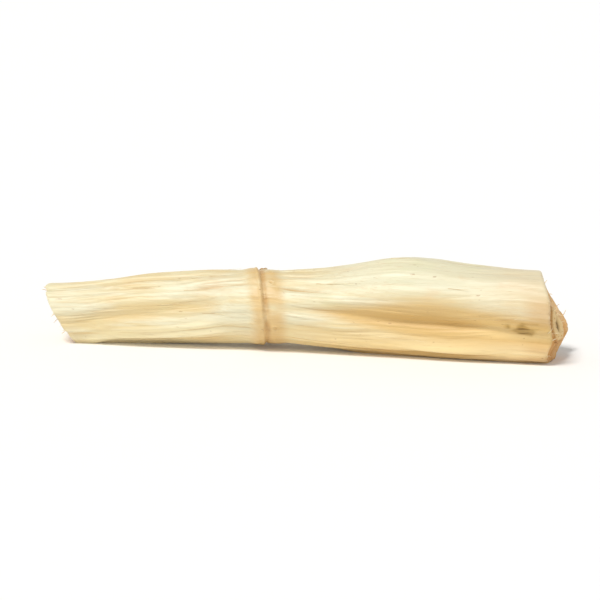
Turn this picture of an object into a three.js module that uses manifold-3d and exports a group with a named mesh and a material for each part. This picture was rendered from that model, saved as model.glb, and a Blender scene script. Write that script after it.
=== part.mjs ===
// A cut, dried length of cogongrass rhizome, lying on its side. Two internodes meet at a ringed
// node. The left one is slim and wrinkled lengthwise. The right one is wider, and its side has sunk
// into a deep groove. Both ends are blade cuts across a spongy rind, a firm core and a narrow hollow.
// Millimetres. X runs along the stem from the left cut to the right one, -Y is the grooved side,
// and Z is up from the surface that it lies on.
import * as THREE from "three";
import { mergeVertices } from "three/addons/utils/BufferGeometryUtils.js";
import Module from "manifold-3d";

// Driving dimensions.
const LENGTH = 21.5; // between the middles of the two cuts
const NODE_FROM_LEFT = 8.85; // from the middle of the left cut to the node
const LEFT_RADIUS = 1.53; // slim internode
const RIGHT_RADIUS = 1.87; // wide internode, mean of its section
const RING_HEIGHT = 0.1; // how far the node's ring stands proud
const CORE_RADIUS = 0.78; // firm core inside the rind
const HOLLOW_RADIUS = 0.32; // hollow up the middle of the core
const HOLLOW_DEPTH = 3.4; // how far it is open from each cut
const LIFT = 0.36; // arch of the stem at its node
const BOW = 0.3; // bend of the stem, seen from above
const SINK = 0.13; // depth of the flat strip that it dried on

const LEFT_X = -LENGTH / 2;
const RIGHT_X = LENGTH / 2;
const NODE_X = LEFT_X + NODE_FROM_LEFT;
const ROUND_STEPS = 72;
const GOLDEN = 0.6180339887;

const wasm = await Module();
wasm.setup();

const radians = THREE.MathUtils.degToRad;
const degrees = THREE.MathUtils.radToDeg;
const smoothstep = THREE.MathUtils.smoothstep;
const fraction = (value) => value - Math.floor(value);
const bell = (distance, width) => Math.exp(-((distance / width) ** 2));

// The shorter way round from one angle to another, in degrees from -180 to 180.
function turn(from, to) {
  return fraction((to - from) / 360 + 0.5) * 360 - 180;
}

// Outside of the stem. An angle of 0 degrees faces -Y, the grooved side, and 90 is the top.

// Mean radius: slim, narrowing to the left cut, and wider all the way from the node to the right one.
function girth(x) {
  const widening = smoothstep(x, NODE_X - 1.5, NODE_X + 8.0);
  const taper = 0.24 * bell(x - LEFT_X, 2.6);
  return LEFT_RADIUS + (RIGHT_RADIUS - LEFT_RADIUS) * widening - taper;
}

// The wide internode is taller than deep, and most of its rind is above its core.
function sagged(x, angle) {
  const share = smoothstep(x, NODE_X + 0.5, NODE_X + 8.5);
  const tall = 0.05 * Math.cos(radians(2 * (angle - 90)));
  const high = 0.15 * Math.cos(radians(angle - 93));
  return 1 + share * (tall + high);
}

// A swelling on the top of the wide internode, which falls off again towards the right cut.
function hump(x, angle) {
  return 0.4 * bell(x - NODE_X - 6.4, 2.3) * bell(turn(90, angle), 60);
}

// The broad groove, a valley between two swollen lips. It starts narrow and shallow near the node
// and widens. On the last third before the right cut it sinks towards the ground and closes a little.
const GROOVE_DEPTH = 0.56;
function groove(x, angle) {
  const way = smoothstep(x, NODE_X + 1.6, NODE_X + 8.0);
  const last = smoothstep(x, NODE_X + 7.0, RIGHT_X + 1.0);
  const up = turn(8 - 4 * way - 14 * last, angle);
  const notch = GROOVE_DEPTH * way ** 0.6 * (1 - 0.25 * last) * bell(up, 9 + 17 * way - 6 * last);
  const upperLip = 0.08 * way * bell(up - 52, 16);
  const lowerLip = 0.13 * way * bell(up + 42 - 8 * last, 13);
  return upperLip + lowerLip - notch;
}

// Low waves, wound slowly round the stem, from uneven drying.
function waves(x, angle) {
  const round = Math.cos(radians(2 * angle + 9 * x));
  return 0.04 * round * Math.sin(0.8 * x + 1.7 + 1.3 * Math.sin(radians(angle + 40)));
}

// Named folds along the front of the slim internode: a faint furrow, a broad one under it, and the
// ridge below them. All sink towards the ground near the left cut, and fade out on the way.
function slimFolds(x, angle) {
  const share = smoothstep(x, LEFT_X - 2.0, LEFT_X + 3.0) - smoothstep(x, NODE_X - 2.4, NODE_X - 0.6);
  const middle = 6 + 8 * smoothstep(x, NODE_X - 5, NODE_X - 2) - 18 * bell(x - LEFT_X, 1.8);
  const up = turn(middle, angle);
  const faint = -0.04 * bell(up - 45, 10);
  const broad = -0.18 * bell(up, 17);
  const ridge = 0.15 * bell(up + 42, 15);
  return share * (faint + broad + ridge);
}

// Furrows from drying, spread round each internode by the golden ratio, and none on the node.
const FURROWS = 11;
function furrows(x, angle) {
  const side = x > NODE_X ? 40 : 0;
  const share = smoothstep(Math.abs(x - NODE_X), 0.5, 1.8);
  let depth = 0;
  for (let k = side; k < side + FURROWS; k++) {
    const wander = 5 * Math.sin(0.34 * x + 2 * Math.PI * fraction(k * 0.731));
    const at = (360 * k) / FURROWS + 14 * fraction(k * GOLDEN) + wander;
    depth += (0.03 + 0.09 * fraction(k * 0.377)) * bell(turn(at, angle), 7);
  }
  return -share * depth;
}

// Where the node's scar runs round the stem: aslant, further right on the front than on the top.
const SCAR_SLANT = 0.5;
function scarX(angle) {
  return NODE_X + SCAR_SLANT * Math.cos(radians(angle + 15));
}

// The node: a rounded ring with a sharp scar on its right side, and a lower root band beyond it.
const RING_HALF = 0.34;
const ROOT_BAND = 0.85;
function ring(x, angle) {
  const from = x - scarX(angle);
  const body = bell(Math.min(from + 0.22, 0), RING_HALF);
  const step = 1 - 0.55 * smoothstep(from, 0, 0.16);
  const end = 1 - smoothstep(from, ROOT_BAND * 0.6, ROOT_BAND * 1.3);
  return RING_HEIGHT * body * step * end;
}

// What is left of the node's scale leaf: a torn base that clasps the back of the stem.
const LEAF = { from: 110, to: 230, thickness: 0.1 };
function leafBase(x, angle) {
  const sides = smoothstep(angle, LEAF.from, LEAF.from + 12) - smoothstep(angle, LEAF.to - 12, LEAF.to);
  const back = smoothstep(angle, 110, 160);
  const tatters = 0.22 * Math.sin(radians(angle * 5.2)) + 0.14 * Math.sin(radians(angle * 13 + 40));
  const length = 0.45 + 0.85 * back + tatters * (0.4 + back);
  const from = x - scarX(angle);
  const cover = smoothstep(from, -0.1, 0.05) * (1 - smoothstep(from, length, length + 0.16));
  return LEAF.thickness * sides * cover;
}

function outerRadius(x, angle) {
  const body = girth(x) * sagged(x, angle) + hump(x, angle) + waves(x, angle);
  const folded = body + groove(x, angle) + slimFolds(x, angle) + furrows(x, angle);
  return folded + ring(x, angle) + leafBase(x, angle);
}

// The line of the core: bowed seen from above, arched at the node, with both ends on the ground.
function coreY(x) {
  return BOW * (Math.cos((Math.PI * (x - NODE_X)) / LENGTH) - 0.5);
}
function coreZ(x) {
  return girth(x) * sagged(x, -90) - SINK + LIFT * bell(x - NODE_X, 4.2);
}

// Each cut is a slanted plane, given by how far x moves for each millimetre along Z, and along Y in
// its lower and upper half. The right one is twisted, and its lower edge is crushed back.
const CUTS = [
  { x: LEFT_X, perZ: -0.58, lowPerY: -0.1, highPerY: -0.1, crushed: 0 },
  { x: RIGHT_X, perZ: -0.31, lowPerY: 0.2, highPerY: -0.1, crushed: 0.6 },
];
const LEAN_REACH = 3.2;
function lean(cut, y, z) {
  const perY = cut.lowPerY + (cut.highPerY - cut.lowPerY) * smoothstep(z, 0.9, 3.0);
  const back = cut.crushed * smoothstep(1.2 - z, 0, 1.2);
  return perY * (y - coreY(cut.x)) + cut.perZ * (z - coreZ(cut.x)) - back;
}

// Moves a point of the turned stem to its place on the dried one: the rind is stretched or sunk,
// the core line bent, the strip that it lies on pressed flat, and each end leant into its cut.
function dried(point) {
  const x = point.x;
  const angle = (degrees(Math.atan2(point.z, -point.y)) + 360) % 360;
  const turned = Math.hypot(point.y, point.z);
  const rind = Math.max(turned - CORE_RADIUS, 0) / (girth(x) - CORE_RADIUS);
  const radius = Math.min(turned, CORE_RADIUS) + rind * (outerRadius(x, angle) - CORE_RADIUS);
  const y = coreY(x) - radius * Math.cos(radians(angle));
  const z = Math.max(coreZ(x) + radius * Math.sin(radians(angle)), 0);
  let leant = x;
  for (const cut of CUTS) {
    leant += (1 - smoothstep(Math.abs(x - cut.x), 0, LEAN_REACH)) * lean(cut, y, z);
  }
  return point.set(leant, y, z);
}

// Stations along the stem: close together over the node, and further apart on the internodes.
function stations(from, to, count) {
  return Array.from({ length: count }, (_, i) => from + ((to - from) * i) / count);
}
const STATIONS = [
  ...stations(LEFT_X, NODE_X - 1.2, 13),
  ...stations(NODE_X - 1.2, NODE_X + 1.8, 17),
  ...stations(NODE_X + 1.8, RIGHT_X, 16),
  RIGHT_X,
];

// One end of the profile, from the bottom of its hollow out over the face of its cut.
function endProfile(cutX, inward) {
  const rindMiddle = (CORE_RADIUS + girth(cutX)) / 2;
  return [
    new THREE.Vector2(0, cutX + inward * HOLLOW_DEPTH),
    new THREE.Vector2(HOLLOW_RADIUS, cutX + inward * HOLLOW_DEPTH),
    new THREE.Vector2(HOLLOW_RADIUS, cutX),
    new THREE.Vector2(CORE_RADIUS, cutX),
    new THREE.Vector2(rindMiddle, cutX),
  ];
}

function stemGeometry() {
  const profile = [
    ...endProfile(LEFT_X, 1),
    ...STATIONS.map((x) => new THREE.Vector2(girth(x), x)),
    ...endProfile(RIGHT_X, -1).reverse(),
  ];
  const turned = new THREE.LatheGeometry(profile, ROUND_STEPS).rotateZ(-Math.PI / 2);
  const positions = turned.getAttribute("position");
  const point = new THREE.Vector3();
  for (let i = 0; i < positions.count; i++) {
    dried(point.fromBufferAttribute(positions, i));
    positions.setXYZ(i, point.x, point.y, point.z);
  }
  return turned;
}

// Stubs of roots that snapped off at the root band, each a taper rooted in the rind.
const ROOT_STUBS = [
  { angle: 168, along: 0.5, length: 0.42, radius: 0.16 },
  { angle: -138, along: 0.46, length: 0.22, radius: 0.17 },
];
const STUB_ROOTED = 0.25;
function stubGeometry({ angle, along, length, radius }) {
  const profile = [
    new THREE.Vector2(0, 0),
    new THREE.Vector2(radius * 1.25, 0),
    new THREE.Vector2(radius, STUB_ROOTED + length * 0.3),
    new THREE.Vector2(radius * 0.85, STUB_ROOTED + length * 0.9),
    new THREE.Vector2(0, STUB_ROOTED + length),
  ];
  const x = scarX(angle) + along;
  const foot = outerRadius(x, angle) - STUB_ROOTED;
  const out = new THREE.Vector3(0, -Math.cos(radians(angle)), Math.sin(radians(angle)));
  const lean = new THREE.Vector3(0.18, out.y, out.z).normalize();
  const upright = new THREE.Quaternion().setFromUnitVectors(new THREE.Vector3(0, 1, 0), lean);
  return new THREE.LatheGeometry(profile, 8)
    .applyQuaternion(upright)
    .translate(x, coreY(x) + foot * out.y, coreZ(x) + foot * out.z);
}

// A closed geometry as a solid, and a solid back as a geometry.
function solidOf(geometry) {
  geometry.deleteAttribute("normal");
  geometry.deleteAttribute("uv");
  const merged = mergeVertices(geometry, 1e-4);
  return new wasm.Manifold(
    new wasm.Mesh({
      numProp: 3,
      vertProperties: new Float32Array(merged.attributes.position.array),
      triVerts: new Uint32Array(merged.index.array),
    }),
  );
}
function geometryOf(solid) {
  const mesh = solid.getMesh();
  const geometry = new THREE.BufferGeometry();
  geometry.setAttribute("position", new THREE.BufferAttribute(mesh.vertProperties, 3));
  geometry.setIndex(new THREE.BufferAttribute(mesh.triVerts, 1));
  geometry.computeVertexNormals();
  return geometry;
}

// Material, and the assembly. The stubs grew from the stem, so all of it is one piece.
const straw = new THREE.MeshStandardMaterial({ color: "#e6d3a1", roughness: 0.55, metalness: 0 });

function rhizomeMesh() {
  let solid = solidOf(stemGeometry());
  for (const stub of ROOT_STUBS) {
    solid = solid.add(solidOf(stubGeometry(stub)));
  }
  const mesh = new THREE.Mesh(geometryOf(solid), straw);
  mesh.name = "rhizome";
  return mesh;
}

const group = new THREE.Group();
group.add(rhizomeMesh());

// The origin is the middle of the footprint, on the surface that the stem lies on.
const box = new THREE.Box3().setFromObject(group, true);
const middle = box.getCenter(new THREE.Vector3());
group.position.set(-middle.x, -middle.y, -box.min.z);

export default group;
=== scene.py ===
import math

import bpy
import numpy as np
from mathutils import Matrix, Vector


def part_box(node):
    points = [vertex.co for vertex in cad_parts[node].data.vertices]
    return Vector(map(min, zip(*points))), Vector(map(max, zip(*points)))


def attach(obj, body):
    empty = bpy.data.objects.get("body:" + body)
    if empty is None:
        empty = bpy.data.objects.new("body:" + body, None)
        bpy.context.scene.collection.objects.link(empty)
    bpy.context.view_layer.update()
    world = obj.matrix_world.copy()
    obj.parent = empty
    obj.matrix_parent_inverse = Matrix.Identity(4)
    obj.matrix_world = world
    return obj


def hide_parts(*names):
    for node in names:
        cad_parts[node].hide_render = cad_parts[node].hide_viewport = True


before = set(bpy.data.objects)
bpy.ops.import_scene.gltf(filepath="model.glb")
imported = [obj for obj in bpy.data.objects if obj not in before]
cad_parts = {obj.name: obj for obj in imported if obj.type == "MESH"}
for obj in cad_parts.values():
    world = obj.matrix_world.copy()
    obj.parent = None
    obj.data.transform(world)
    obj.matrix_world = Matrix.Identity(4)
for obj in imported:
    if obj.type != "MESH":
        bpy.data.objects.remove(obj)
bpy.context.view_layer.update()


# The dried stem.
# One cut length of rhizome that grew as one piece: a slim, wrinkled internode on the left, a ringed
# node, and a wide internode on the right whose side sank into a deep groove as it dried. Both ends
# are blade cuts. It lies loose on its underside.
MM = 0.001  # the sizes that follow are in mm, and the angles in degrees
LENGTH = 21.5  # between the middles of the two cuts
NODE_FROM_LEFT = 8.85  # from the middle of the left cut to the node
LEFT_RADIUS = 1.53  # slim internode
RIGHT_RADIUS = 1.87  # wide internode
END_TAPER = 0.24  # how much slimmer the left cut is
CORE_RADIUS = 0.78
HOLLOW_RADIUS = 0.32
HOLLOW_DEPTH = 3.4  # from each cut
LIFT = 0.36  # arch of the stem at its node
BOW = 0.3  # bend of the stem, seen from above
SINK = 0.13  # depth of the flat strip that it dried on
HUMP_HEIGHT = 0.4  # swelling on the top of the wide internode
GROOVE_DEPTH = 0.56
FOLD_DEPTH = 0.18  # broad furrow on the slim internode
FURROWS = 11  # round each internode
SCAR_SLANT = 0.5  # how far the scar runs to either side of the node's middle
RING_HEIGHT = 0.1
RING_HALF = 0.34
ROOT_BAND_FADE = (0.51, 1.1)  # where the root band dies away, from the scar
NODE_RADIUS = 1.5
LEAF_THICKNESS = 0.08
LEAF_FROM, LEAF_TO = 110, 230  # the back of the stem, where the leaf's base is left
ROOT_SCARS = 10
LEFT_X = -LENGTH / 2
RIGHT_X = LENGTH / 2
NODE_X = LEFT_X + NODE_FROM_LEFT
GOLDEN = 0.6180339887


def smoothstep(value, low, high):
    """0 below low, 1 above high, and an eased rise between them."""
    t = np.clip((value - low) / (high - low), 0, 1)
    return t * t * (3 - 2 * t)


def bell(distance, width):
    """1 at no distance, falling off as the exponential of minus the squared distance over width."""
    return np.exp(-((distance / width) ** 2))


def turn(start, end):
    """The shorter way round from one angle to another, in degrees."""
    return np.mod((end - start) / 360 + 0.5, 1) * 360 - 180


def random_relief(along, angle, columns, seed):
    """Smooth noise from -1 to 1: random values on a lattice that closes round the stem after the
    given number of columns, joined by an eased blend. One unit of along is one lattice cell."""
    lattice = np.random.default_rng(seed).uniform(-1, 1, (64, columns))
    row = np.floor(along).astype(int)
    around = np.mod(angle, 360) / 360 * columns
    column = np.floor(around).astype(int)
    up = smoothstep(along - row, 0, 1)
    side = smoothstep(around - column, 0, 1)
    row, column = row % 64, column % columns
    above, beside = (row + 1) % 64, (column + 1) % columns
    low = lattice[row, column] * (1 - side) + lattice[row, beside] * side
    high = lattice[above, column] * (1 - side) + lattice[above, beside] * side
    return low * (1 - up) + high * up


def girth(x):
    """Mean radius: slim, with a bell-shaped taper to the left cut, and an eased widening from the
    node to the right cut."""
    widening = smoothstep(x, NODE_X - 1.5, NODE_X + 8.0)
    taper = END_TAPER * bell(x - LEFT_X, 2.6)
    return LEFT_RADIUS + (RIGHT_RADIUS - LEFT_RADIUS) * widening - taper


def sagged(x, angle):
    """Factor on the radius: cosines of the angle make the wide internode taller than deep, and put
    most of its rind above its core."""
    share = smoothstep(x, NODE_X + 0.5, NODE_X + 8.5)
    tall = 0.05 * np.cos(np.radians(2 * (angle - 90)))
    high = 0.15 * np.cos(np.radians(angle - 93))
    return 1 + share * (tall + high)


def hump(x, angle):
    """A swelling on the top of the wide internode: a bell along the stem times a bell round it."""
    return HUMP_HEIGHT * bell(x - NODE_X - 6.4, 2.3) * bell(turn(90, angle), 60)


def groove(x, angle):
    """Depth of the groove and height of its two swollen lips. The groove is a bell across. It is
    narrow and shallow near the node, widens, then sinks and closes a little before the right cut."""
    way = smoothstep(x, NODE_X + 1.6, NODE_X + 8.0)
    last = smoothstep(x, NODE_X + 7.0, RIGHT_X + 1.0)
    up = turn(8 - 4 * way - 14 * last, angle)
    lips = way * (0.08 * bell(up - 52, 16) + 0.13 * bell(up + 42 - 8 * last, 13))
    across = bell(up, 9 + 17 * way - 6 * last)
    return GROOVE_DEPTH * way**0.6 * (1 - 0.25 * last) * across, lips


def waves(x, angle):
    """Low waves from uneven drying: a cosine of twice the angle, wound slowly round the stem, times
    a sine along it."""
    around = np.cos(np.radians(2 * angle + 9 * x))
    return 0.04 * around * np.sin(0.8 * x + 1.7 + 1.3 * np.sin(np.radians(angle + 40)))


def slim_folds(x, angle):
    """Depth of the broad furrow along the front of the slim internode and of a faint one over it,
    and height of the ridge below them, each a bell across. They sink and fade to the left cut."""
    share = smoothstep(x, LEFT_X - 2.0, LEFT_X + 3.0) - smoothstep(x, NODE_X - 2.4, NODE_X - 0.6)
    middle = 6 + 8 * smoothstep(x, NODE_X - 5, NODE_X - 2) - 18 * bell(x - LEFT_X, 1.8)
    up = turn(middle, angle)
    depth = FOLD_DEPTH * bell(up, 17) + 0.04 * bell(up - 45, 10)
    return share * depth, share * 0.15 * bell(up + 42, 15)


def furrows(x, angle):
    """Depth of the wandering furrows round each internode, each a bell across, spread by the golden
    ratio."""
    depth = np.zeros(np.broadcast(x, angle).shape)
    for side, here in ((0, x <= NODE_X), (40, x > NODE_X)):
        for k in range(side, side + FURROWS):
            wander = 5 * np.sin(0.34 * x + 2 * math.pi * ((k * 0.731) % 1))
            at = 360 * k / FURROWS + 14 * ((k * GOLDEN) % 1) + wander
            depth += here * (0.03 + 0.09 * ((k * 0.377) % 1)) * bell(turn(at, angle), 7)
    return depth * smoothstep(np.abs(x - NODE_X), 0.5, 1.8)


def scar_x(angle):
    """Where the scar runs round the stem, aslant: a cosine of the angle."""
    return NODE_X + SCAR_SLANT * np.cos(np.radians(angle + 15))


def ring(x, angle):
    """Height of the node's ring: half a bell on the left, a sharp step down at the scar, and the low
    root band on the right of it."""
    off = x - scar_x(angle)
    body = bell(np.minimum(off + 0.22, 0), RING_HALF)
    step = 1 - 0.55 * smoothstep(off, 0, 0.16)
    return RING_HEIGHT * body * step * (1 - smoothstep(off, *ROOT_BAND_FADE))


def leaf_edge(angle):
    """How far the torn base of the scale leaf reaches to the right of the scar: further on the back
    of the stem, in points made by two sines and noise."""
    back = smoothstep(angle, LEAF_FROM, 160)
    tatters = 0.22 * np.sin(np.radians(angle * 5.2)) + 0.14 * np.sin(np.radians(angle * 13 + 40))
    ragged = 0.16 * random_relief(5 + 0 * angle, angle, 110, 15)
    return 0.45 + 0.85 * back + (tatters + ragged) * (0.4 + back)


def leaf_cover(x, angle):
    """1 under the leaf base that clasps the back of the stem, and 0 elsewhere."""
    sides = smoothstep(angle, LEAF_FROM, LEAF_FROM + 12) - smoothstep(angle, LEAF_TO - 12, LEAF_TO)
    off = x - scar_x(angle)
    edge = leaf_edge(angle)
    return sides * smoothstep(off, -0.1, 0.05) * (1 - smoothstep(off, edge, edge + 0.12))


def form_radius(x, angle):
    """Radius of the stem without its fine relief, as the solid has it."""
    notch, lips = groove(x, angle)
    furrow, ridge = slim_folds(x, angle)
    body = girth(x) * sagged(x, angle) + hump(x, angle) + waves(x, angle) + lips + ridge
    folded = body - notch - furrow - furrows(x, angle)
    return folded + ring(x, angle) + LEAF_THICKNESS * leaf_cover(x, angle)


def core_y(x):
    """Sideways place of the core line: a slight bow, half a wave of a cosine."""
    return BOW * (np.cos(math.pi * (x - NODE_X) / LENGTH) - 0.5)


def core_z(x):
    """Height of the core line: arched at the node, with both ends on the ground."""
    return girth(x) * sagged(x, -90) - SINK + LIFT * bell(x - NODE_X, 4.2)


# Each cut is a slanted plane: its middle, how far it leans along X for each mm along Z, and along Y
# in its lower and upper half, and how far its lower edge is crushed back. The right one is twisted.
CUTS = {"left": (LEFT_X, -0.58, -0.1, -0.1, 0.0), "right": (RIGHT_X, -0.31, 0.2, -0.1, 0.6)}
LEAN_REACH = 3.2  # how far along the stem a cut's lean fades out


def place(x, angle, radius):
    """A point at a radius and angle about the core line, with the strip that the stem lies on
    pressed flat, and both ends leant into the slants of their cuts."""
    y = core_y(x) - radius * np.cos(np.radians(angle))
    z = np.maximum(core_z(x) + radius * np.sin(np.radians(angle)), 0)
    leant = x + 0 * y
    for cut, per_z, low_per_y, high_per_y, crushed in CUTS.values():
        per_y = low_per_y + (high_per_y - low_per_y) * smoothstep(z, 0.9, 3.0)
        lean = per_y * (y - core_y(cut)) + per_z * (z - core_z(cut))
        lean = lean - crushed * smoothstep(1.2 - z, 0, 1.2)
        leant = leant + (1 - smoothstep(np.abs(x - cut), 0, LEAN_REACH)) * lean
    return np.stack([leant, y, z], axis=-1)


def wrinkles(x, angle):
    """Fine relief of the dried skin: low swells, sharp lengthwise creases that run for a few mm, and
    the fibres between them, all noise drawn out along the stem. The top of the wide internode and
    the front of the slim one are calmer, and the node is smoother."""
    slow = angle + 3 * np.sin(0.5 * x) + 2 * np.sin(1.1 * x + 1)
    swells = 0.04 * random_relief(x / 3.6 + 20, slow, 17, 3)
    creases = 0.085 * (np.abs(random_relief(x / 3.4 + 30, slow, 31, 5)) ** 0.8 - 0.35)
    folds = 0.045 * (np.abs(random_relief(x / 2.3 + 35, slow, 67, 6)) ** 0.9 - 0.35)
    fibres = 0.018 * (np.abs(random_relief(x / 2.0 + 40, slow, 140, 8)) - 0.4)
    wide_top = smoothstep(angle, 15, 40) * (1 - smoothstep(angle, 130, 170))
    calm = 1 - 0.55 * smoothstep(x, NODE_X + 2, NODE_X + 7) * wide_top
    calm = calm - 0.3 * (1 - smoothstep(x, NODE_X - 2, NODE_X)) * bell(turn(5, angle), 60)
    across = smoothstep(np.abs(x - scar_x(angle) - 0.2), 0.3, 1.2)
    return calm * (0.2 + 0.8 * across) * (swells + creases + folds) + fibres


def node_relief(x, angle):
    """Pinches across the ring, a fine lip at the scar, and uneven root scars on the root band, each
    a rim round a small pit."""
    off = x - scar_x(angle)
    pinch = 0.03 * random_relief(x / 0.5 + 25, angle, 46, 13) * bell(off + 0.1, 0.5)
    lip = 0.04 * bell(off + 0.03, 0.05) - 0.06 * bell(off - 0.1, 0.06)
    uneven = 0.05 * random_relief(x / 0.22 + 12, angle, 70, 17)
    scars = np.zeros(np.broadcast(x, angle).shape)
    for k in range(ROOT_SCARS):
        own, other = (k * GOLDEN) % 1, (k * 0.377) % 1
        across = np.radians(turn(360 / ROOT_SCARS * k + 20 * own, angle)) * NODE_RADIUS
        near = np.hypot(across, (off - 0.42 - 0.16 * other) * (0.7 + 0.6 * own)) + uneven
        rim = bell(near - 0.07 - 0.06 * other, 0.045)
        scars += (0.015 + 0.035 * own) * (rim - bell(near, 0.06))
    return pinch + lip + scars


def dark_spot(x, angle):
    """1 in the middle of a small dark spot, low on the groove near the right cut, fading off
    unevenly, further along the stem than across it."""
    across = np.radians(turn(-3, angle)) * 1.6
    off = np.hypot((x - RIGHT_X + 1.25) / 0.45, across / 0.24)
    return bell(off * (1 + 0.6 * random_relief(x / 0.34 + 22, angle, 75, 29)), 1)


def skin_radius(x, angle):
    """Radius of the dressed stem."""
    relief = wrinkles(x, angle) + node_relief(x, angle) - 0.06 * dark_spot(x, angle)
    return form_radius(x, angle) + relief


# Rows of the surface: up the left hollow, over the left cut, along the outside, over the right cut
# and down the right hollow. Columns go round the stem.
COLUMNS = 304
FACE_ROWS = 44
HOLLOW_ROWS = 9
angles = np.arange(COLUMNS) * 360 / COLUMNS
hollow_way = np.linspace(1, 0, HOLLOW_ROWS)[:-1] ** 1.5
face_way = np.linspace(0, 1, FACE_ROWS)[:-1]
rim_steps = np.array([0, 0.012, 0.03, 0.055, 0.09, 0.14])
skin_x = np.concatenate(
    [
        LEFT_X + rim_steps,
        np.linspace(LEFT_X + 0.2, NODE_X - 1.1, 60),
        np.linspace(NODE_X - 1.04, NODE_X + 1.9, 56),
        np.linspace(NODE_X + 1.98, RIGHT_X - 0.2, 64),
        (RIGHT_X - rim_steps)[::-1],
    ]
)


def end_rows(cut, inward):
    """Stations and turned radii from the bottom of the hollow out over the cut's face."""
    up_hollow = cut + inward * HOLLOW_DEPTH * hollow_way
    stations = np.concatenate([up_hollow, np.full(len(face_way), cut)])
    over_face = HOLLOW_RADIUS + face_way * (girth(cut) - HOLLOW_RADIUS)
    return stations, np.concatenate([np.full(len(up_hollow), HOLLOW_RADIUS), over_face])


left_x, left_r = end_rows(LEFT_X, 1)
right_x, right_r = end_rows(RIGHT_X, -1)
row_x = np.concatenate([left_x, skin_x, right_x[::-1]])[:, None]
row_r = np.concatenate([left_r, girth(skin_x), right_r[::-1]])[:, None]
rows = len(row_x)
is_skin = np.zeros(rows, bool)
is_skin[len(left_x) : len(left_x) + len(skin_x)] = True
grid_angle = np.broadcast_to(angles, (rows, COLUMNS))
grid_x = np.broadcast_to(row_x, grid_angle.shape)

rim_distance = np.minimum(grid_x - LEFT_X, RIGHT_X - grid_x)
rim_round = 0.05 * (1 - smoothstep(rim_distance, 0, 0.09)) ** 2
chips = np.maximum(random_relief(5.0 + 7 * (grid_x > 0), grid_angle, 61, 19) - 0.25, 0)
chips = 0.1 * chips * (1 - smoothstep(rim_distance, 0, 0.14))
outer = skin_radius(grid_x, grid_angle) - rim_round - chips
rind = np.clip((row_r - CORE_RADIUS) / (girth(row_x) - CORE_RADIUS), 0, 1)
core_wave = 1 + 0.02 * random_relief(5 + 0 * grid_x, grid_angle, 13, 20)
core_wave = core_wave + 0.04 * np.sin(np.radians(2 * grid_angle + 50))
hollow_wave = 1 + 0.16 * random_relief(grid_x * 0.8 + 20, grid_angle, 9, 21)
inner = np.minimum(row_r, CORE_RADIUS)
towards_core = smoothstep(inner, HOLLOW_RADIUS, CORE_RADIUS)
inner = inner * (hollow_wave * (1 - towards_core) + core_wave * towards_core)
stem_points = place(grid_x, grid_angle, inner + rind * (outer - CORE_RADIUS * core_wave))


def fissures(angle, share, count, seed):
    """Depth of the cracks that run out through the dried rind, spread by the golden ratio. Each is
    the half wave of a sine, widest half way along, with its own reach, width and slight wander."""
    depth = np.zeros(angle.shape)
    for k in range(count):
        own = (k * GOLDEN + seed * 0.37) % 1
        other = (k * 0.377 + seed * 0.61) % 1
        wander = 1.3 * np.sin(7 * share + 6.3 * own) + 0.7 * np.sin(19 * share + 6.3 * other)
        at = 360 / count * (k + 0.8 * own) + wander + 14 * (other - 0.5) * share
        starts, ends = 0.35 * other**2, 0.5 + 0.45 * own
        spindle = np.sin(math.pi * np.clip((share - starts) / (ends - starts), 0, 1)) ** 0.7
        width = (1.0 + 2.8 * other**2) * (0.45 + 0.75 * spindle)
        depth = np.maximum(depth, (0.4 + 0.6 * own) * spindle * bell(turn(at, angle), width))
    return depth


# Relief of the two cut faces: the spongy rind dries back between its rim and the core and cracks,
# a gap opens round the core, and the core stands proud.
crack = np.zeros(grid_angle.shape)
gap = np.zeros(grid_angle.shape)
first_face = (LEFT_X, 1, slice(0, len(left_x)), 15, 0.12)
last_face = (RIGHT_X, -1, slice(rows - len(right_x), rows), 27, 0.2)
for cut, inward, face, cracks, crack_depth in (first_face, last_face):
    share = rind[face]
    turned = row_r[face]
    around = grid_angle[face]
    on_face = np.abs(row_x[face] - cut) < 1e-6
    crack[face] = on_face * fissures(around, share + 0 * around, cracks, cracks)
    gap[face] = on_face * bell(turned - CORE_RADIUS * 1.05, 0.055)
    gap[face] *= 0.65 + 0.35 * random_relief(share * 0 + 5, around, 14, 30 + cracks)
    sunk = 0.09 * np.sin(math.pi * share) ** 0.8
    pits = 0.016 * random_relief(share * 9 + 10, around, 90, 40 + cracks) * (share > 0.02)
    saw = 0.025 * random_relief(share * 2 + 5, around, 19, 50 + cracks)
    proud = 0.09 * (1 - smoothstep(turned, CORE_RADIUS * 0.7, CORE_RADIUS))
    proud = proud * smoothstep(turned, HOLLOW_RADIUS, HOLLOW_RADIUS + 0.12)
    depth = on_face * (sunk + pits + saw - proud) + crack_depth * (crack[face] + gap[face])
    stem_points[face, :, 0] += inward * depth

# The lowest corner of the solid says where the stem lies in the frame.
form_points = place(grid_x, grid_angle, np.where(rind > 0, form_radius(grid_x, grid_angle), 0))
stem_shift = np.array(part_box("rhizome")[0]) / MM - form_points.reshape(-1, 3).min(0)


def grid_quads(row_count, column_count, closed):
    """Corner numbers of the quads between neighbouring rows and columns of a grid. A closed grid
    also joins its last column to its first."""
    across = column_count if closed else column_count - 1
    i, j = np.meshgrid(np.arange(row_count - 1), np.arange(across), indexing="ij")
    k = (j + 1) % column_count
    corners = [i * column_count + j, (i + 1) * column_count + j]
    corners += [(i + 1) * column_count + k, i * column_count + k]
    return np.stack(corners, axis=-1).reshape(-1, 4)


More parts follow.
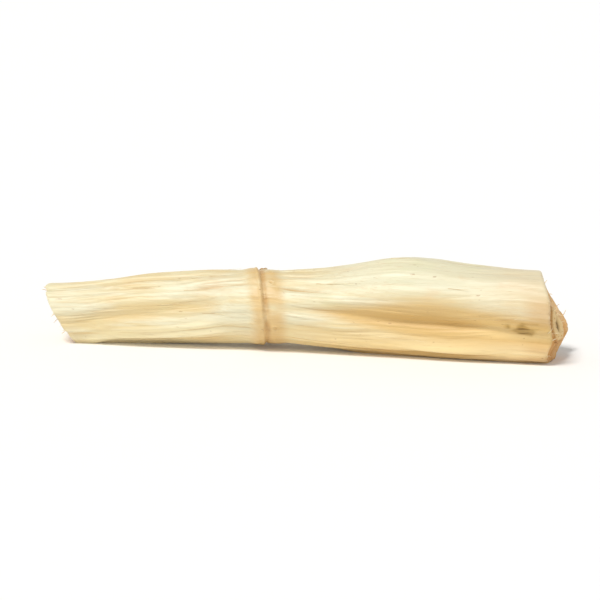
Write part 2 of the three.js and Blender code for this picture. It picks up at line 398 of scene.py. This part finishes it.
def mesh_from(name, points, faces):
    """A smooth mesh object from an array of points in mm and a list of arrays of faces, each array
    with one face a row."""
    mesh = bpy.data.meshes.new(name)
    mesh.vertices.add(len(points))
    mesh.vertices.foreach_set("co", (np.asarray(points) * MM).astype(np.float32).ravel())
    sizes = np.concatenate([np.full(len(f), f.shape[1]) for f in faces])
    corners = np.concatenate([f.ravel() for f in faces])
    mesh.loops.add(len(corners))
    mesh.loops.foreach_set("vertex_index", corners.astype(np.int32))
    mesh.polygons.add(len(sizes))
    mesh.polygons.foreach_set("loop_start", (np.cumsum(sizes) - sizes).astype(np.int32))
    mesh.polygons.foreach_set("loop_total", sizes.astype(np.int32))
    mesh.polygons.foreach_set("use_smooth", np.ones(len(sizes), bool))
    mesh.update(calc_edges=True)
    mesh.validate()
    piece = bpy.data.objects.new(name, mesh)
    bpy.context.scene.collection.objects.link(piece)
    return piece


def capped_tube(rings, first_pole, last_pole):
    """Points and faces of a closed tube from a grid of points, one ring a row, with a point at each
    end. Faces point outwards where a ring turns anticlockwise, seen from the first one."""
    row_count, column_count = rings.shape[:2]
    points = np.concatenate([rings.reshape(-1, 3), [first_pole], [last_pole]])
    here = np.arange(column_count)
    following = (here + 1) % column_count
    first = np.stack([np.full(column_count, row_count * column_count), here, following], axis=-1)
    end_ring = (row_count - 1) * column_count
    last = np.full(column_count, row_count * column_count + 1)
    last = np.stack([last, end_ring + following, end_ring + here], axis=-1)
    return points, [grid_quads(row_count, column_count, True), first, last]


def hollow_bottom(cut, inward):
    """The point in the middle of a hollow's bottom, which is slightly dished."""
    x = cut + inward * HOLLOW_DEPTH
    return [x + inward * 0.02 * HOLLOW_DEPTH, core_y(x), core_z(x)]


bottoms = hollow_bottom(LEFT_X, 1), hollow_bottom(RIGHT_X, -1)
stem_vertices, stem_faces = capped_tube(stem_points, *bottoms)
stem = mesh_from("dried_stem", stem_vertices + stem_shift, stem_faces)


def add_attribute(piece, name, values):
    """Stores one number per vertex, for the material to read."""
    layer = piece.data.attributes.new(name, "FLOAT", "POINT")
    layer.data.foreach_set("value", np.asarray(values, np.float32).ravel())


def hollowness(radius, reach):
    """How far each point lies below the mean of its ring within a number of columns either way."""
    steps = np.arange(-reach, reach + 1)
    weights = bell(steps, reach / 1.5)
    mean = sum(w * np.roll(radius, s, axis=1) for s, w in zip(steps, weights)) / weights.sum()
    return mean - radius


skin_only = is_skin[:, None] * np.ones(grid_angle.shape)
off_scar = grid_x - scar_x(grid_angle)
# How far down its side each point lies, more so on the wide internode. It places painted shade and
# warm bounce light low down.
underside_shading = -np.sin(np.radians(grid_angle)) * (0.35 + 0.65 * smoothstep(grid_x, NODE_X, NODE_X + 6))
# Where the top of the wide internode gets its painted highlight tint.
wide_top = smoothstep(grid_x, NODE_X + 1, NODE_X + 5) * smoothstep(grid_angle, 20, 55)
wide_top = wide_top * (1 - smoothstep(grid_angle, 125, 165))
core_place = row_r / CORE_RADIUS - 1 + 0 * grid_angle
hollow_rows = np.minimum(np.arange(rows), np.arange(rows)[::-1])[:, None] < len(hollow_way)
for attribute, values in {
    "Groove": groove(grid_x, grid_angle)[0] * skin_only,
    "SlimFurrow": slim_folds(grid_x, grid_angle)[0] * skin_only,
    "SlimRidge": slim_folds(grid_x, grid_angle)[1] * skin_only,
    "Lip": groove(grid_x, grid_angle)[1] * skin_only,
    "DarkSpot": dark_spot(grid_x, grid_angle) * skin_only,
    "RightEnd": smoothstep(grid_x, RIGHT_X - 5.5, RIGHT_X),
    "WideTopHighlight": wide_top * skin_only,
    "Furrow": hollowness(outer, 14) * skin_only,
    "Crease": hollowness(outer, 4) * skin_only,
    "UndersideShading": underside_shading,
    "Scar": bell(off_scar - 0.14, 0.16) * skin_only,
    "RootBand": smoothstep(off_scar, -0.9, 0.0) * (1 - smoothstep(off_scar, 0.5, 1.3)) * skin_only,
    "LeafBase": leaf_cover(grid_x, grid_angle) * skin_only,
    "Rind": np.where(rind > 0, rind, core_place),
    "CoreEdge": bell(core_place, 0.12) * (1 - skin_only),
    "Crack": np.maximum(crack, 0.8 * gap),
    "Hollow": hollow_rows * np.ones(grid_angle.shape),
}.items():
    add_attribute(stem, attribute, np.append(values.ravel(), values[[0, -1], 0]))


def linear(colour):
    """An sRGB hex colour as the linear numbers that a colour socket takes."""
    parts = [int(colour[i : i + 2], 16) / 255 for i in (1, 3, 5)]
    return tuple(c / 12.92 if c <= 0.04045 else ((c + 0.055) / 1.055) ** 2.4 for c in parts) + (1.0,)


def feed(tree, socket, value):
    """Joins an output to an input socket, or sets the socket to a value, a hex colour among them."""
    if isinstance(value, bpy.types.NodeSocket):
        tree.links.new(value, socket)
    else:
        socket.default_value = linear(value) if isinstance(value, str) else value


def node(tree, kind, inputs, output=0, **settings):
    """Adds a node with its settings, feeds its inputs, each named by its name or number, and gives
    back one of its outputs."""
    made = tree.nodes.new("ShaderNode" + kind)
    for name, value in settings.items():
        setattr(made, name, value)
    for name, value in inputs.items():
        feed(tree, made.inputs[name], value)
    return made.outputs[output]


def plant_material(name, patterns, colours, gloss, relief=None):
    """A material of dried plant tissue. patterns gives each pattern's texture, the length and width
    of its cells in mm, and its detail. colours is a base and the layers over it: each layer has its
    colour, its strength, and the values between which it fades in on each pattern or stored number
    that it follows. gloss is the roughness in the same form, then the IOR. relief is how many mm
    each pattern raises the surface."""
    material = bpy.data.materials.new(name)
    material.use_nodes = True
    tree = material.node_tree
    shader = tree.nodes["Principled BSDF"]
    position = node(tree, "TexCoord", {}, output="Object")
    sources = {}
    for k, (pattern, (texture, along, across, detail)) in enumerate(patterns.items()):
        cells = (1 / (along * MM), 1 / (across * MM), 1 / (across * MM))
        offset = (3 * k, 5 * k, 7 * k)
        cells = node(tree, "Mapping", {"Vector": position, "Scale": cells, "Location": offset})
        inputs = {"Vector": cells, "Scale": 1.0, "Detail": detail, "Roughness": 0.55}
        sources[pattern] = node(tree, texture, inputs)

    def share(strength, follows):
        for source, (low, high) in follows.items():
            if source not in sources:
                sources[source] = node(tree, "Attribute", {}, output="Fac", attribute_name=source)
            fade = {"Value": sources[source], "From Min": low, "From Max": high}
            fade = node(tree, "MapRange", fade, interpolation_type="SMOOTHSTEP")
            strength = node(tree, "Math", {0: fade, 1: strength}, operation="MULTIPLY")
        return strength

    colour = colours[0]
    for over, strength, follows in colours[1]:
        inputs = {0: share(strength, follows), 6: colour, 7: over}
        colour = node(tree, "Mix", inputs, output=2, data_type="RGBA")
    feed(tree, shader.inputs["Base Color"], colour)
    roughness = gloss[0]
    for over, strength, follows in gloss[1]:
        roughness = node(tree, "Mix", {0: share(strength, follows), 2: roughness, 3: over})
    feed(tree, shader.inputs["Roughness"], roughness)
    shader.inputs["IOR"].default_value = gloss[2]
    height = 0.0
    for pattern, rise in (relief or {}).items():
        inputs = {0: sources[pattern], 1: rise * MM, 2: height}
        height = node(tree, "Math", inputs, operation="MULTIPLY_ADD")
    if relief:
        bump = node(tree, "Bump", {"Height": height, "Distance": 1.0})
        feed(tree, shader.inputs["Normal"], bump)
    return material


# Dried rhizome skin, thin and drawn tight: cream to straw, streaked lengthwise by its fibres, tan
# round the node and at the right cut, with a small dark spot low on the groove near that cut, and a
# slight natural lustre. Painted shade makes it golden in its groove, furrows and creases, and more
# golden and then darker low down. Painted highlights pale its crests, the groove's lips and the slim
# internode's ridge, and give the top of the wide internode a paler, cooler tint. The finest fibres
# are drawn coarser than real ones, so that they show.
skin_material = plant_material(
    "dried rhizome skin",
    patterns={
        "broad": ("TexNoise", 5.0, 0.7, 3),
        "streak": ("TexNoise", 2.4, 0.13, 4),
        "hair": ("TexNoise", 1.2, 0.05, 2),
        "blotch": ("TexNoise", 2.2, 1.4, 3),
        "speck": ("TexNoise", 0.5, 0.16, 2),
    },
    colours=(
        "#e1dabb",
        [
            ("#e0cb98", 0.8, {"broad": (0.36, 0.68)}),
            ("#d6b37a", 0.35, {"streak": (0.52, 0.74)}),
            ("#f2efd6", 0.4, {"streak": (0.46, 0.3)}),
            # painted highlight: a paler, cooler tint on the top of the wide internode
            ("#dfdcc1", 0.75, {"WideTopHighlight": (0.0, 1.0)}),
            ("#e3bf95", 0.3, {"blotch": (0.55, 0.75)}),
            ("#d8dab2", 0.35, {"blotch": (0.45, 0.28)}),
            # painted shade and warm bounce light: more golden, then darker, low down
            ("#f0d294", 0.7, {"UndersideShading": (0.0, 0.5)}),
            ("#c8984a", 0.55, {"UndersideShading": (0.55, 0.95)}),
            # painted shade in the furrows, and a painted highlight on the slim internode's ridge
            ("#cfa562", 0.5, {"Furrow": (0.02, 0.12)}),
            ("#d3b67a", 0.5, {"SlimFurrow": (0.02, 0.16)}),
            ("#fbf0c6", 0.55, {"SlimRidge": (0.02, 0.12)}),
            ("#d8c09a", 0.4, {"RightEnd": (0.0, 1.0)}),
            ("#d0a870", 0.6, {"RightEnd": (0.84, 1.0), "WideTopHighlight": (1.0, 0.2)}),
            # painted shade in the creases and painted highlights on the crests between them
            ("#b98848", 0.55, {"Crease": (0.004, 0.03)}),
            ("#f7f0d8", 0.35, {"Crease": (-0.004, -0.03)}),
            # painted shade in the groove, lighter towards the right cut
            ("#d5b06c", 0.85, {"Groove": (0.02, 0.3)}),
            ("#c8a25e", 0.5, {"Groove": (0.32, 0.56)}),
            ("#e8cb8e", 0.8, {"Groove": (0.22, 0.42), "RightEnd": (0.05, 0.6)}),
            # painted highlight on the groove's lips
            ("#fae2a8", 0.45, {"Lip": (0.07, 0.13)}),
            # a small dark spot, darkest in its middle
            ("#ba9650", 0.7, {"DarkSpot": (0.05, 0.6)}),
            ("#7c5c2c", 0.8, {"DarkSpot": (0.3, 0.9), "streak": (0.42, 0.6)}),
            ("#d8b272", 0.78, {"RootBand": (0.0, 1.0), "blotch": (0.2, 0.55)}),
            ("#b5854a", 0.55, {"Scar": (0.1, 1.0), "broad": (0.3, 0.6)}),
            ("#d2ac78", 0.9, {"LeafBase": (0.1, 0.9)}),
            ("#9c6c3c", 0.8, {"LeafBase": (0.1, 0.9), "streak": (0.42, 0.62)}),
            ("#966634", 0.5, {"speck": (0.7, 0.76)}),
            ("#c09558", 0.2, {"hair": (0.56, 0.7)}),
        ],
    ),
    gloss=(
        0.42,
        [(0.62, 1.0, {"Furrow": (0.0, 0.1)}), (0.75, 1.0, {"LeafBase": (0.0, 1.0)})],
        1.46,
    ),
    relief={"streak": 0.02, "hair": 0.012},
)

# The blade-cut tissue: a pale, spongy rind, a golden ring round the core, and the core's pale yellow
# wood dotted with vessel bundles. Painted shade makes the cracks and the gap round the core tan, the
# wall of the hollow dark brown, and the rind browner low down. It is browner all over the right cut.
# All matt. The cells of the sponge are drawn coarser than real ones, so that they show.
tissue_material = plant_material(
    "cut rhizome tissue",
    patterns={
        "sponge": ("TexNoise", 0.09, 0.09, 4),
        "patch": ("TexNoise", 0.6, 0.6, 3),
        "bundle": ("TexVoronoi", 0.17, 0.17, 0),
    },
    colours=(
        "#f4e2b0",
        [
            ("#c0904c", 0.8, {"bundle": (0.3, 0.16)}),
            ("#e0bd7a", 0.4, {"sponge": (0.5, 0.7)}),
            ("#fbe9c6", 1.0, {"Rind": (0.0, 0.03)}),
            ("#eccf9a", 0.7, {"Rind": (0.0, 0.03), "sponge": (0.44, 0.66)}),
            ("#e0b47a", 0.6, {"Rind": (0.0, 0.03), "patch": (0.46, 0.66)}),
            # painted shade: the rind browner low down
            ("#dba562", 0.6, {"Rind": (0.0, 0.03), "UndersideShading": (-0.7, 0.8)}),
            ("#c68844", 0.75, {"Rind": (0.0, 0.03), "UndersideShading": (-0.4, 0.6), "patch": (0.36, 0.62)}),
            ("#d09c54", 0.45, {"RightEnd": (0.5, 1.0)}),
            ("#d6a866", 0.5, {"Rind": (0.9, 0.98)}),
            ("#b98544", 0.8, {"CoreEdge": (0.2, 1.0)}),
            # painted shade in the cracks, in the gap round the core and on the wall of the hollow
            ("#a87640", 0.7, {"Crack": (0.2, 0.9)}),
            ("#6f4722", 0.85, {"Hollow": (0.0, 1.0)}),
        ],
    ),
    gloss=(0.82, [], 1.4),
    relief={"sponge": 0.03},
)
stem.data.materials.append(skin_material)
stem.data.materials.append(tissue_material)
on_skin = np.repeat(is_skin[:-1] & is_skin[1:], COLUMNS)
slots = np.concatenate([np.where(on_skin, 0, 1), np.ones(2 * COLUMNS, int)])
stem.data.polygons.foreach_set("material_index", slots.astype(np.int32))
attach(stem, "root")
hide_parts("rhizome")


# The tatters of the scale leaf.
# The node's papery scale leaf tore off and left brown strips, thin as tissue paper, rooted in the
# scar. They clasp the back of the stem, point right, and curl up at their torn tips.
TATTERS = 24
TATTER_THICKNESS = 0.018
FIRST_TATTER = 128  # degrees
LAST_TATTER = 224


def thin_sheet(outside, inside):
    """Points and faces of a thin closed sheet, from two grids of points that share their layout."""
    row_count, column_count = outside.shape[:2]
    count = row_count * column_count
    face = grid_quads(row_count, column_count, False)
    number = np.arange(count).reshape(row_count, column_count)
    edge = np.concatenate([number[:-1, 0], number[-1, :-1], number[:0:-1, -1], number[0, :0:-1]])
    beyond = np.roll(edge, -1)
    wall = np.stack([edge, edge + count, beyond + count, beyond], axis=-1)
    points = np.concatenate([outside.reshape(-1, 3), inside.reshape(-1, 3)])
    return points, [face, face[:, ::-1] + count, wall]


def gathered(parts):
    """Joins the points and faces of several parts into one set."""
    starts = np.cumsum([0] + [len(points) for points, _ in parts])
    points = np.concatenate([points for points, _ in parts])
    return points, [faces + start for (_, groups), start in zip(parts, starts) for faces in groups]


tatter_way = np.linspace(0, 1, 26)
tatter_side = np.linspace(-1, 1, 25)


def tatter(middle, width, length, curl, seed):
    """One strip: it lies along the skin at its root, lifts with the square of the way to its tip,
    narrows a little, and ends in a ragged tear. Its long edges roll up."""
    way, side = tatter_way[:, None], tatter_side[None, :]
    tear = 0.3 * side**2 + 0.45 * np.abs(random_relief(side * 5 + 20, 0 * side, 3, seed))
    narrow = 1 - 0.4 * way**2 + 0.15 * random_relief(way * 5 + 10, 0 * way, 3, seed + 1)
    angle = middle + width / 2 * side * narrow + 5 * way * np.sin(seed)
    x = scar_x(angle) + 0.02 + length * way * (1 - tear)
    ripple = 0.03 * random_relief(x * 2 + 20, angle, 40, seed + 2)
    lift = 0.012 + curl * way**2 + 0.025 * side**2 * way + ripple * way
    radius = skin_radius(x, angle) + lift
    return thin_sheet(place(x, angle, radius + TATTER_THICKNESS), place(x, angle, radius))


tatters = []
for k in range(TATTERS):
    own, other = (k * GOLDEN) % 1, (k * 0.377 + 0.2) % 1
    middle = FIRST_TATTER + (LAST_TATTER - FIRST_TATTER) * k / (TATTERS - 1)
    back = smoothstep(middle, LEAF_FROM, 155)
    length = 0.35 + back * (0.2 + 1.1 * other**1.5)
    tatters.append(tatter(middle, 5 + 7 * own, length, 0.02 + 0.12 * back * own, 61 + k))
tatter_points, tatter_faces = gathered(tatters)
leaf_tatters = mesh_from("scale_leaf_tatters", tatter_points + stem_shift, tatter_faces)
add_attribute(leaf_tatters, "Tip", np.tile(np.repeat(tatter_way, len(tatter_side)), 2 * TATTERS))

# Dead scale leaf, papery and matt: tan to brown, with fine lengthwise veins and paler torn tips.
leaf_material = plant_material(
    "papery scale leaf",
    patterns={"vein": ("TexNoise", 1.6, 0.06, 3), "stain": ("TexNoise", 0.8, 0.5, 3)},
    colours=(
        "#d0a873",
        [
            ("#a77a48", 1.0, {"stain": (0.4, 0.66)}),
            ("#e6cda0", 0.7, {"Tip": (0.3, 1.0)}),
            ("#8a5c32", 0.5, {"vein": (0.52, 0.68)}),
            ("#ead2a8", 0.4, {"vein": (0.42, 0.3)}),
        ],
    ),
    gloss=(0.75, [], 1.45),
    relief={"vein": 0.012},
)
leaf_tatters.data.materials.append(leaf_material)
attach(leaf_tatters, "root")


# The loose fibres.
# Vessel strands that the blade pulled out of both cuts, and hair-fine slivers of skin that lifted
# along the stem. They are the stem's own tissue, dried stiff, and grow out of it.
VESSELS = 26  # at each cut
SLIVERS = 34


def strands(paths, radii, sides=5):
    """Points and faces of thin round strands from an array of paths, one path a row. Each ring
    stands square to the line from its strand's root to its tip, and shrinks towards the tip."""
    parts = []
    turns = np.arange(sides) * 2 * math.pi / sides
    for path, radius in zip(paths, radii):
        line = (path[-1] - path[0]) / np.linalg.norm(path[-1] - path[0])
        first = np.cross(line, [0.31, 0.52, 0.79])
        first = first / np.linalg.norm(first)
        second = np.cross(first, line)
        shrink = np.linspace(1, 0.45, len(path))[:, None, None]
        ring_shape = np.cos(turns)[:, None] * first + np.sin(turns)[:, None] * second
        rings = path[:, None, :] + radius * shrink * ring_shape
        parts.append(capped_tube(rings, path[0] - line * radius, path[-1] + line * radius))
    return gathered(parts)


def vessel_paths(cut, outward, seed, count=VESSELS):
    """Paths of the strands at one cut: most stand in the core and the rest near the rim. Each starts
    under the face, leaves it square to the cut with a lean of its own, and bends as the square of
    the way."""
    rng = np.random.default_rng(seed)
    x, per_z, per_y = CUTS[cut][:3]
    angle = rng.uniform(0, 360, count)
    in_core = rng.uniform(0, 1, count) < 0.6
    radius = np.where(in_core, rng.uniform(0.44, 0.7, count), 0)
    rim = form_radius(np.full(count, x), angle)
    radius = np.where(in_core, radius, rim * rng.uniform(0.88, 0.95, count))
    root = place(np.full(count, x), angle, radius)
    normal = np.array([1, -per_y, -per_z]) * outward
    lean = normal + rng.normal(0, 0.42, (count, 3))
    bend = rng.normal(0, 0.35, (count, 3))
    reach = rng.uniform(0.06, 0.24, count)
    way = np.linspace(-0.8, 1, 8)[None, :, None]
    out = np.maximum(way, 0)
    paths = root[:, None] + reach[:, None, None] * (way * lean[:, None] + out**2 * bend[:, None])
    paths[..., 2] = np.maximum(paths[..., 2], 0.04)
    return paths


def sliver_paths(seed, count=SLIVERS):
    """Paths of the slivers of skin: each keeps to the skin at its root and lifts to a free tip as
    the cube of the way."""
    rng = np.random.default_rng(seed)
    start = rng.uniform(LEFT_X + 0.4, RIGHT_X - 2.2, count)[:, None]
    angle = rng.uniform(-30, 210, count)[:, None]
    length = rng.uniform(0.6, 2.0, count)[:, None]
    way = np.linspace(0, 1, 12)[None, :]
    x = start + length * way
    around = angle + rng.uniform(-5, 5, count)[:, None] * way**2
    lift = rng.uniform(0.01, 0.1, count)[:, None] * way**3
    return place(x, around, skin_radius(x, around) + 0.004 + lift)


fibre_sizes = np.random.default_rng(83)
fibre_parts = []
for cut, outward, seed in (("left", -1, 81), ("right", 1, 82)):
    vessel_radii = fibre_sizes.uniform(0.014, 0.028, VESSELS)
    fibre_parts.append(strands(vessel_paths(cut, outward, seed), vessel_radii))
fibre_parts.append(strands(sliver_paths(84), fibre_sizes.uniform(0.007, 0.012, SLIVERS)))
fibre_points, fibre_faces = gathered(fibre_parts)
loose_fibres = mesh_from("loose_fibres", fibre_points + stem_shift, fibre_faces)

# Dried vessel strands, stiff and slightly glossy, like raffia: pale straw, browner in places.
fibre_material = plant_material(
    "dried vessel fibre",
    patterns={"tone": ("TexNoise", 0.6, 0.3, 2)},
    colours=("#f4e6c0", [("#d3ab6e", 0.9, {"tone": (0.42, 0.62)})]),
    gloss=(0.5, [], 1.5),
)
loose_fibres.data.materials.append(fibre_material)
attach(loose_fibres, "root")


# The root stubs.
# Roots snapped off close to the root band when the rhizome was cleaned. Each stub is a knobbly
# brown peg, rooted in the rind, with a ragged broken end.
STUB_ROOTED = 0.25  # how deep a stub starts in the rind
STUB_LEAN = 0.18  # towards the right
# The angle, distance from the scar, length and radius of each.
ROOT_STUBS = ((168, 0.5, 0.42, 0.16), (-138, 0.46, 0.22, 0.17))


def root_stub(angle, along, length, radius, seed):
    """One stub: a turned profile that flares at its foot, made knobbly by noise, and broken off in
    a ragged cup with the root's core standing in it."""
    x = scar_x(angle) + along
    out = np.array([0, -math.cos(math.radians(angle)), math.sin(math.radians(angle))])
    foot = np.array([x, core_y(x), core_z(x)]) + (form_radius(x, angle) - STUB_ROOTED) * out
    axis = np.array([STUB_LEAN, out[1], out[2]])
    axis = axis / np.linalg.norm(axis)
    first = np.cross(axis, [1, 0, 0])
    first = first / np.linalg.norm(first)
    second = np.cross(first, axis)
    around = np.arange(26) * 360 / 26
    side_way = np.linspace(0, 1, 16)
    top = STUB_ROOTED + length
    height = np.concatenate([side_way * top, np.full(4, top)])[:, None]
    over_end = 0.84 * np.array([0.85, 0.62, 0.4, 0.2])
    wide = np.concatenate([1.3 - 0.42 * side_way**0.7, over_end])[:, None]
    knobs = 1 + 0.14 * random_relief(height * 9 + 10, around[None, :], 8, seed)
    rag = 0.1 * random_relief(0 * height + 5, around[None, :], 11, seed + 1)
    rag = rag * smoothstep(height, top * 0.8, top)
    cup = np.concatenate([np.zeros(16), [0.05, 0.09, 0.02, -0.03]])[:, None]
    turns = np.radians(around)[:, None]
    ring_shape = np.cos(turns) * first + np.sin(turns) * second
    along_axis = (height + rag - cup)[..., None] * axis
    rings = foot + along_axis + (radius * wide * knobs)[..., None] * ring_shape
    rings[..., 2] = np.maximum(rings[..., 2], 0)
    return capped_tube(rings, foot, foot + axis * (top + 0.04))


stub_points, stub_faces = gathered([root_stub(*stub, 90 + i) for i, stub in enumerate(ROOT_STUBS)])
root_stubs = mesh_from("root_stubs", stub_points + stem_shift, stub_faces)

# Thin root bark over paler wood, dull and reddish brown, with a grain as fine as the peg is thin.
bark_material = plant_material(
    "dry root bark",
    patterns={"grain": ("TexNoise", 0.12, 0.1, 4)},
    colours=("#c79a62", [("#87592f", 0.9, {"grain": (0.4, 0.62)})]),
    gloss=(0.8, [], 1.45),
    relief={"grain": 0.02},
)
root_stubs.data.materials.append(bark_material)
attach(root_stubs, "root")


# The floor and the light.
# A sheet of matt white paper in a white light tent: bright all round, dimmer overhead, with one
# broad soft light above the front and the left, as of a window.
FLOOR_REACH = 8.0  # metres, far enough for its edge to meet the tent unseen
floor_points = np.array([[x, y, 0] for y in (-1, 1) for x in (-1, 1)]) * FLOOR_REACH / MM
paper_floor = mesh_from("paper_floor", floor_points, [np.array([[0, 1, 3, 2]])])
paper = bpy.data.materials.new("matt white paper")
paper.use_nodes = True
paper_shader = paper.node_tree.nodes["Principled BSDF"]
paper_shader.inputs["Base Color"].default_value = linear("#fafafa")
paper_shader.inputs["Roughness"].default_value = 0.95
paper_shader.inputs["Specular IOR Level"].default_value = 0.1
paper_floor.data.materials.append(paper)

tent = bpy.data.worlds.new("light tent")
tent.use_nodes = True
tent_light = tent.node_tree.nodes["Background"]
direction = node(tent.node_tree, "TexCoord", {}, output="Generated")
height = node(tent.node_tree, "SeparateXYZ", {"Vector": direction}, output="Z")
fade = {"Value": height, "From Min": 0.12, "From Max": 0.85, "To Min": 1.0, "To Max": 0.3}
strength = node(tent.node_tree, "MapRange", fade, interpolation_type="SMOOTHSTEP")
feed(tent.node_tree, tent_light.inputs["Strength"], strength)
feed(tent.node_tree, tent_light.inputs["Color"], "#ffffff")
bpy.context.scene.world = tent

window_data = bpy.data.lights.new("window", "SUN")
window_data.angle = math.radians(18)
window_data.energy = 2.2
window_data.color = linear("#fffdf8")[:3]
window = bpy.data.objects.new("window", window_data)
window.rotation_euler = Vector((-0.3, -0.5, 1.0)).to_track_quat("Z", "Y").to_euler()
bpy.context.scene.collection.objects.link(window)

# The camera looks from the photograph's height, a little round towards the wide end.
CAMERA_AZIMUTH = 11.0
CAMERA_ELEVATION = 11.0
LENS = 100.0
FRAMED_WIDTH = 0.0257  # metres across the picture at the stem
TARGET_HEIGHT = 0.0021
camera_data = bpy.data.cameras.new("camera")
camera_data.lens = LENS
camera_data.clip_start = 0.001
camera_data.clip_end = 20
camera = bpy.data.objects.new("camera", camera_data)
azimuth, elevation = math.radians(CAMERA_AZIMUTH), math.radians(CAMERA_ELEVATION)
flat_back = Vector((math.sin(azimuth), -math.cos(azimuth), 0)) * math.cos(elevation)
back = flat_back + Vector((0, 0, math.sin(elevation)))
target = Vector((0, 0, TARGET_HEIGHT))
camera.location = target + back * (FRAMED_WIDTH * LENS / camera_data.sensor_width)
camera.rotation_euler = (-back).to_track_quat("-Z", "Y").to_euler()
bpy.context.scene.collection.objects.link(camera)
bpy.context.scene.camera = camera
bpy.context.scene.view_settings.view_transform = "Standard"
